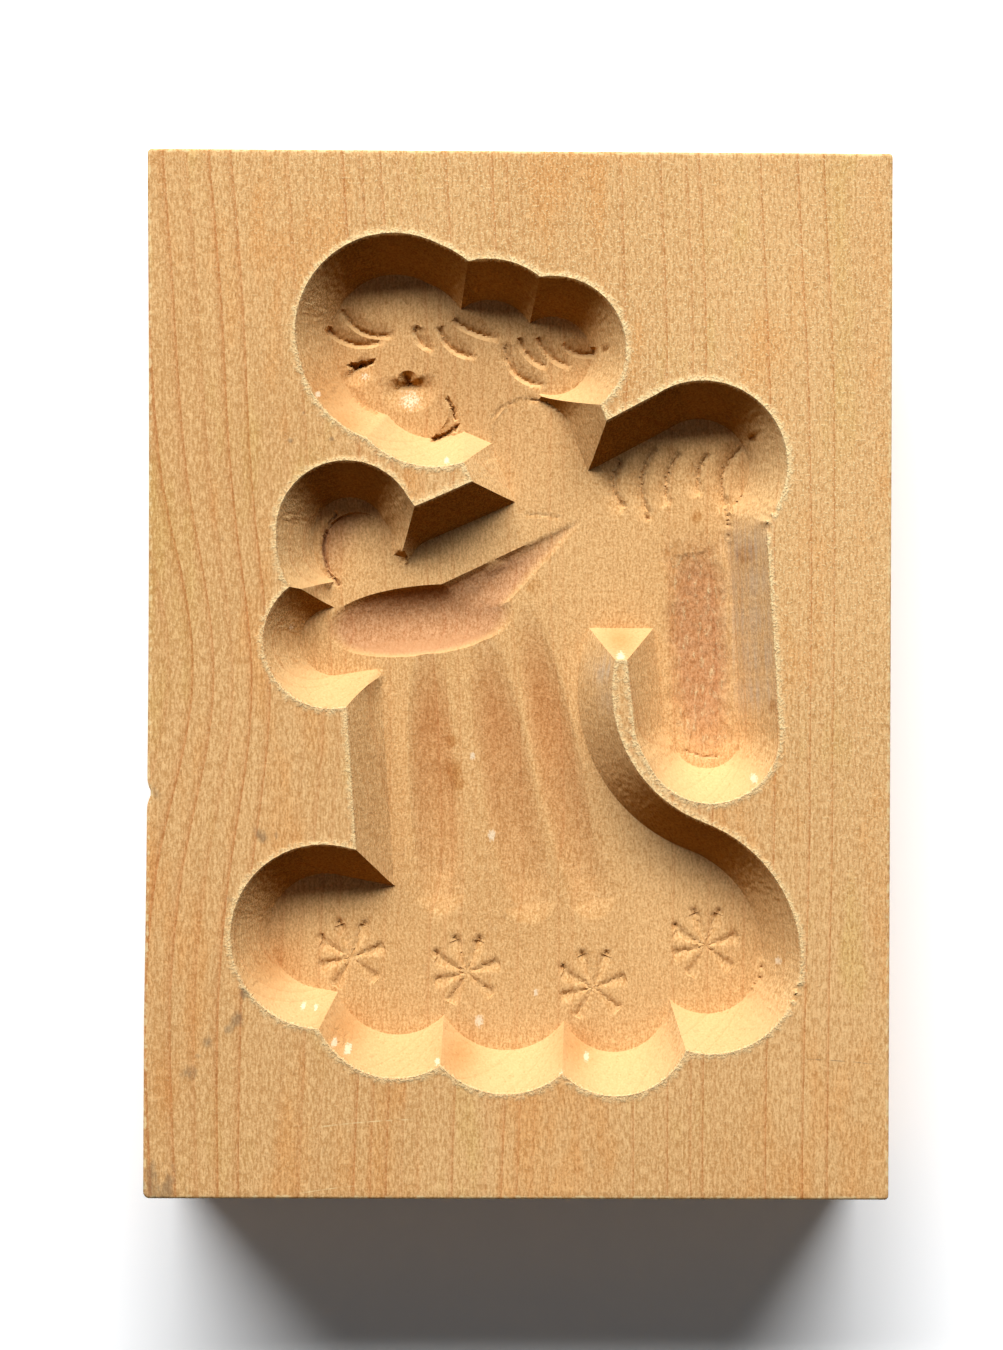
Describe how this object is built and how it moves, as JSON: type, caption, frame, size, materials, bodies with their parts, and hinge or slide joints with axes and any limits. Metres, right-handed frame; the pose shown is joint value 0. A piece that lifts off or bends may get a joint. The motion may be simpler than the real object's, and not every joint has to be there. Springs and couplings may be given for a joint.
{
  "type": "springerle mould",
  "caption": "Flat wooden block with a hollow angel carved in its face, for pressing a relief into biscuit dough.",
  "frame": {"origin": "middle of the flat back face", "axes": "+X to the right and +Y to the top of the figure, seen from the carved side, +Z out of the carved face"},
  "size_m": [0.071, 0.1, 0.02],
  "materials": {
    "carved_wood": "bare, sanded face and tool-cut hollow"
  },
  "bodies": {
    "root": {"mould_block": "carved_wood"}
  },
  "joints": []
}
